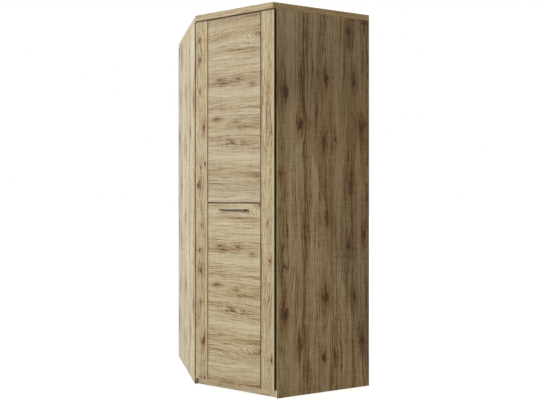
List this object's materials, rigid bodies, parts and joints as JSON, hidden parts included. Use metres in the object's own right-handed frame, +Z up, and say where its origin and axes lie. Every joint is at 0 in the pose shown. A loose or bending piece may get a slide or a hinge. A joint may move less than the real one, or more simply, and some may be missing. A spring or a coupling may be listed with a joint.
{
  "type": "corner wardrobe",
  "caption": "Five-sided corner wardrobe in knotty oak finish, with a diagonal door, bar handle, hat shelf and clothes rail inside.",
  "frame": {"origin": "middle of the bounding box on the floor, at the underside of the side panels and the plinth", "axes": "+Z up; the door faces -Y; the room corner lies towards +Y; +X to the right of someone facing the door"},
  "size_m": [1.2728, 1.0552, 2.05],
  "materials": {
    "side_oak": "satin foil",
    "top_oak": "satin foil",
    "inner_oak": "satin foil",
    "plinth_oak": "satin foil",
    "stile_oak": "satin foil",
    "panel_oak": "satin foil",
    "back_hardboard": "matt",
    "dowel_beech": "raw",
    "rail_chrome": "polished",
    "hinge_steel": "nickel plated",
    "handle_graphite": "satin",
    "handle_black": "matt",
    "foot_plastic": "matt",
    "pad_rubber": "translucent"
  },
  "bodies": {
    "carcass": {"left_side_panel": "side_oak", "right_side_panel": "side_oak", "top_board": "top_oak", "bottom_board": "inner_oak", "hat_shelf": "inner_oak", "rear_corner_post": "inner_oak", "plinth": "plinth_oak", "left_back_sheet": "back_hardboard", "right_back_sheet": "back_hardboard", "clothes_rail": "rail_chrome", "left_rail_hanger": "rail_chrome", "right_rail_hanger": "rail_chrome", "corner_foot": "foot_plastic", "middle_foot": "foot_plastic", "left_top_dowel_rear": "dowel_beech", "left_top_dowel_front": "dowel_beech", "left_bottom_dowel_rear": "dowel_beech", "left_bottom_dowel_front": "dowel_beech", "right_top_dowel_rear": "dowel_beech", "right_top_dowel_front": "dowel_beech", "right_bottom_dowel_rear": "dowel_beech", "right_bottom_dowel_front": "dowel_beech", "left_shelf_pin_rear": "hinge_steel", "left_shelf_pin_front": "hinge_steel", "right_shelf_pin_rear": "hinge_steel", "right_shelf_pin_front": "hinge_steel", "corner_shelf_pin": "hinge_steel", "hinge_1_plate": "hinge_steel", "hinge_1_arm": "hinge_steel", "hinge_1_pin": "hinge_steel", "hinge_2_plate": "hinge_steel", "hinge_2_arm": "hinge_steel", "hinge_2_pin": "hinge_steel", "hinge_3_plate": "hinge_steel", "hinge_3_arm": "hinge_steel", "hinge_3_pin": "hinge_steel", "hinge_4_plate": "hinge_steel", "hinge_4_arm": "hinge_steel", "hinge_4_pin": "hinge_steel"},
    "door": {"left_stile": "stile_oak", "right_stile": "stile_oak", "upper_panel": "panel_oak", "lower_panel": "panel_oak", "lower_closing_pad": "pad_rubber", "upper_closing_pad": "pad_rubber", "handle_bar": "handle_graphite", "handle_end_left": "handle_black", "handle_end_right": "handle_black", "handle_screw_left": "hinge_steel", "handle_screw_right": "hinge_steel", "hinge_1_cup": "hinge_steel", "hinge_2_cup": "hinge_steel", "hinge_3_cup": "hinge_steel", "hinge_4_cup": "hinge_steel"}
  },
  "joints": [
    {"name": "door_hinge", "type": "hinge", "parent": "carcass", "child": "door", "pos_m": [-0.24644, -0.49628, 1.0275], "axis": [0, 0, -1], "range_deg": [0, 100]}
  ]
}
